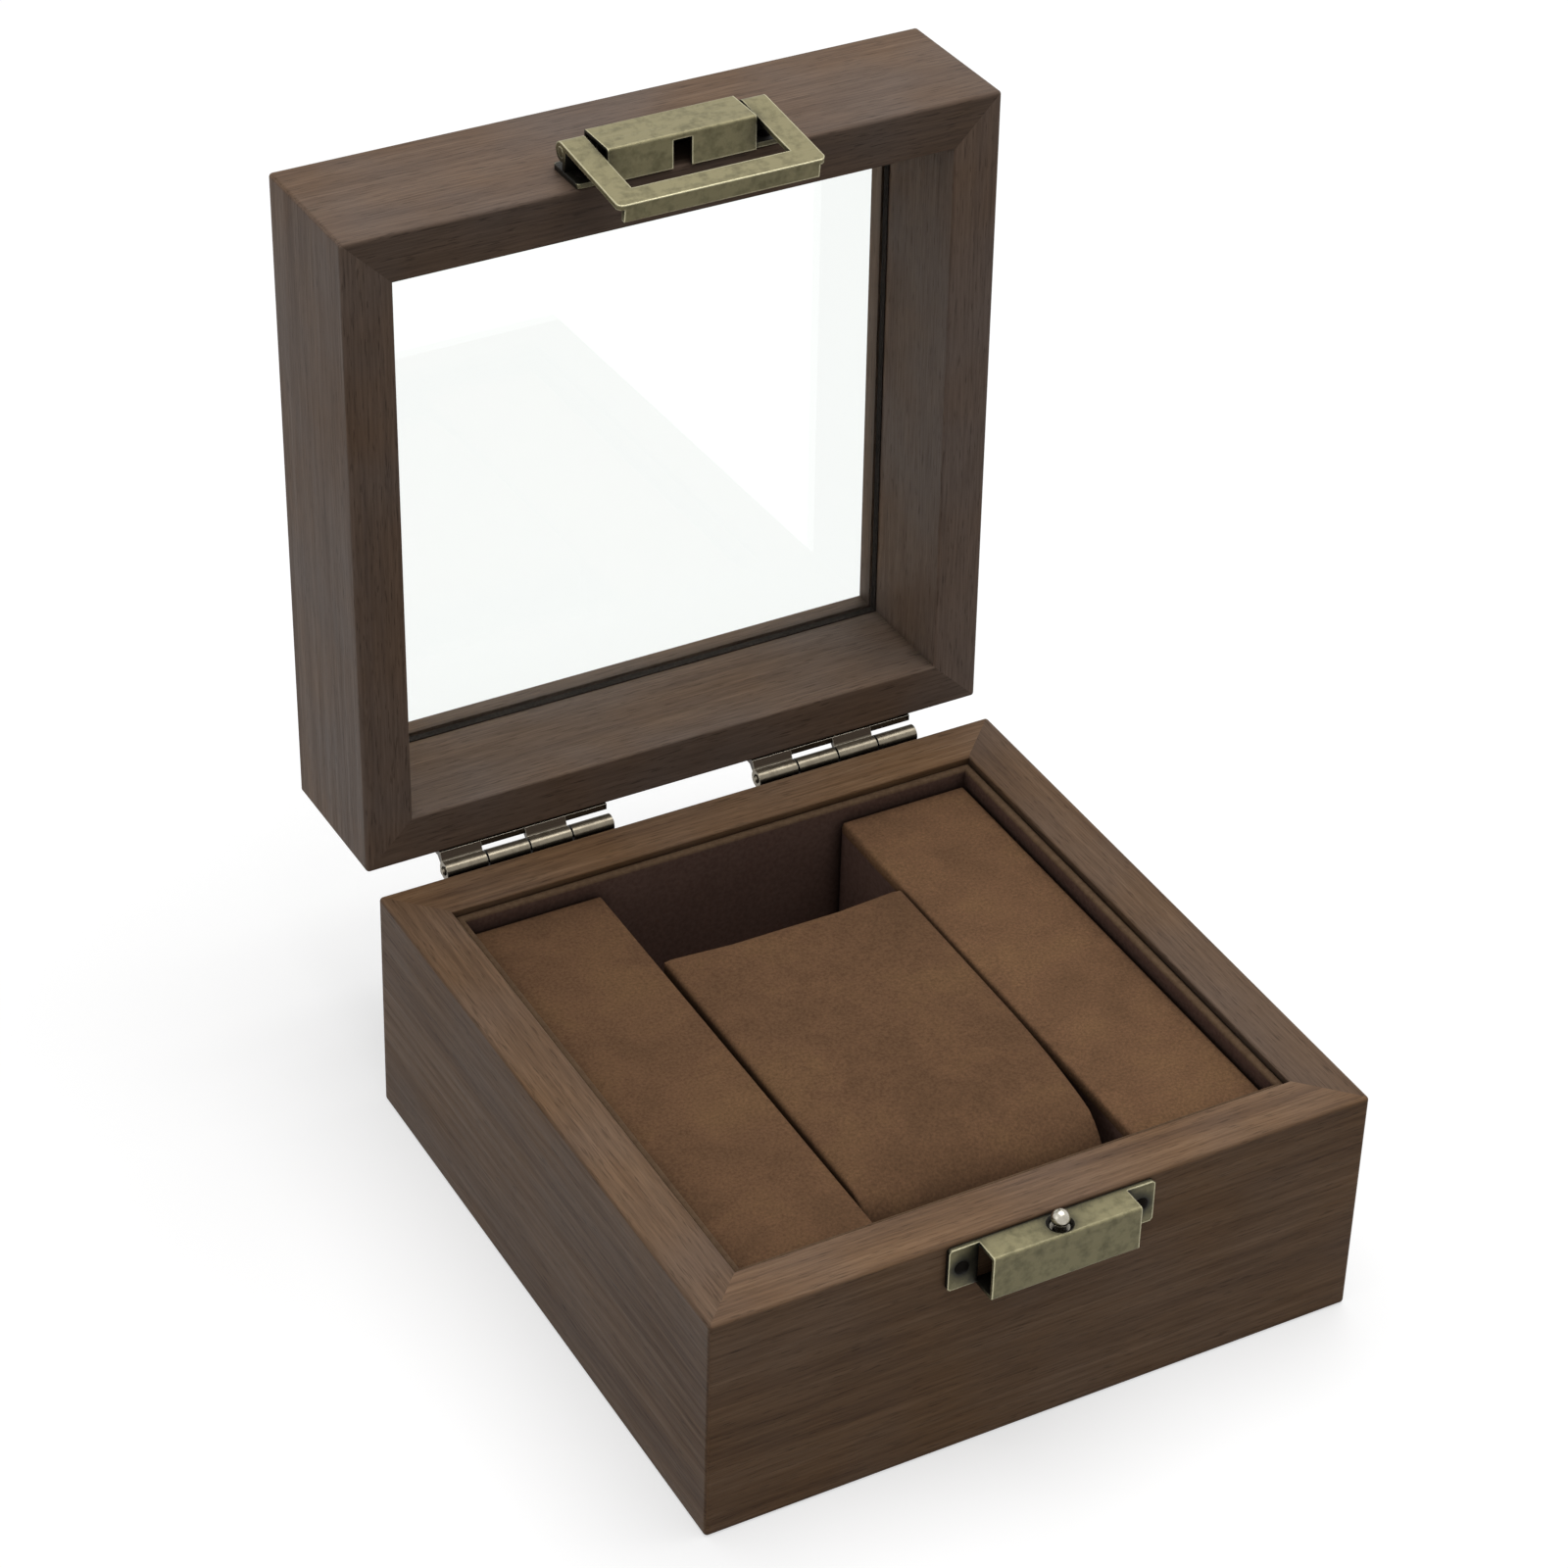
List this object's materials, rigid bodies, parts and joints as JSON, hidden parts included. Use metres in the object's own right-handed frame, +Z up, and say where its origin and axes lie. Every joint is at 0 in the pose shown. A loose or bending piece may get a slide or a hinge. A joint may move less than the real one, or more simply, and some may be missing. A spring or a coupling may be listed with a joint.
{
  "type": "glazed watch display box",
  "caption": "Square walnut box with a suede watch pillow, a hinged glass lid and a hasp loop that drops over a sprung catch.",
  "frame": {"origin": "centre of the underside, on the surface that the box stands on", "axes": "+Z up, -Y towards the front with the catch, +X to the right seen from the front"},
  "size_m": [0.105, 0.1407, 0.1503],
  "materials": {
    "walnut": "satin veneer",
    "panel_board": "raw",
    "felt": "matt",
    "liner_leather": "matt",
    "suede": "napped",
    "foam": "matt",
    "glass": "clear",
    "gasket_rubber": "matt",
    "hinge_brass": "worn plate",
    "antique_brass": "antique, brushed",
    "screw_steel": "plated",
    "bright_steel": "bright"
  },
  "bodies": {
    "base": {"ball_housing": "bright_steel", "base_back_wall": "walnut", "base_felt": "felt", "base_front_wall": "walnut", "base_left_wall": "walnut", "base_right_wall": "walnut", "bottom_panel": "panel_board", "catch_nails": "antique_brass", "catch_plate": "antique_brass", "detent_spring": "bright_steel", "hinge_base_screws": "screw_steel", "left_hinge_base_leaf": "hinge_brass", "left_hinge_pin": "hinge_brass", "left_pad_core": "foam", "left_pad_cover": "suede", "liner_back": "liner_leather", "liner_front": "liner_leather", "liner_left": "liner_leather", "liner_right": "liner_leather", "right_hinge_base_leaf": "hinge_brass", "right_hinge_pin": "hinge_brass", "right_pad_core": "foam", "right_pad_cover": "suede", "well_floor": "liner_leather"},
    "lid": {"glass_gasket": "gasket_rubber", "hasp_nails": "antique_brass", "hasp_pin": "antique_brass", "hasp_plate": "antique_brass", "hinge_lid_screws": "screw_steel", "left_hinge_lid_leaf": "hinge_brass", "lid_back_rail": "walnut", "lid_front_rail": "walnut", "lid_glass": "glass", "lid_left_rail": "walnut", "lid_right_rail": "walnut", "right_hinge_lid_leaf": "hinge_brass"},
    "hasp_loop": {"hasp_loop": "antique_brass"},
    "detent_ball": {"detent_ball": "bright_steel"},
    "pillow": {"pillow_core": "foam", "pillow_cover": "suede", "pillow_left_end": "suede", "pillow_right_end": "suede"}
  },
  "joints": [
    {"name": "lid_hinge", "type": "hinge", "parent": "base", "child": "lid", "pos_m": [0, 0.0551, 0.0375], "axis": [1, 0, 0], "range_deg": [0, 91.2]},
    {"name": "loop_swing", "type": "hinge", "parent": "lid", "child": "hasp_loop", "pos_m": [0, 0.06413, 0.14844], "axis": [-1, 0, 0], "range_deg": [0, 192]},
    {"name": "ball_press", "type": "slide", "parent": "base", "child": "detent_ball", "axis": [0, 0, -1], "range_m": [0, 0.0012], "stiffness_N_per_m": 400, "deforming": ["detent_spring"]},
    {"name": "pillow_lift", "type": "slide", "parent": "base", "child": "pillow", "axis": [0, 0, 1], "range_m": [0, 0.02]}
  ]
}
